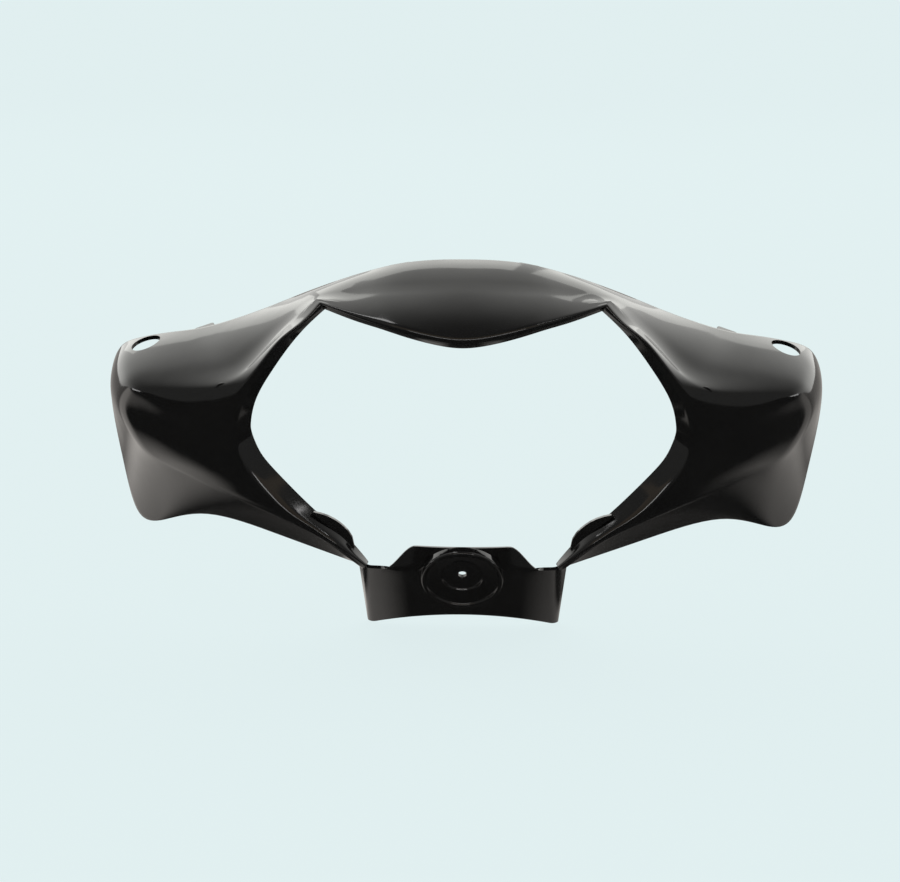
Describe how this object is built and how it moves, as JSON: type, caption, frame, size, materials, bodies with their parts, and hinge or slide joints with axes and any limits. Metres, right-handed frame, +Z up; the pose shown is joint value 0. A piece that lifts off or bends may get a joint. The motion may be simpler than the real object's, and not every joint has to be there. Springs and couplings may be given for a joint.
{
  "type": "headlight cowl",
  "caption": "Thin gloss black moulded front handlebar cowl with a large headlamp opening, hood, two hollow wings with mirror stem holes and a screw apron below.",
  "frame": {"origin": "middle of the seat for the apron's screw, on the face the screw head bears on", "axes": "+X to the vehicle's right as seen from the front, -Y the way the face looks, +Z up as mounted"},
  "size_m": [0.4642, 0.0879, 0.2384],
  "materials": {
    "gloss_black_abs": "injection moulded, polished gloss"
  },
  "bodies": {
    "root": {"cowl": "gloss_black_abs"}
  },
  "joints": []
}
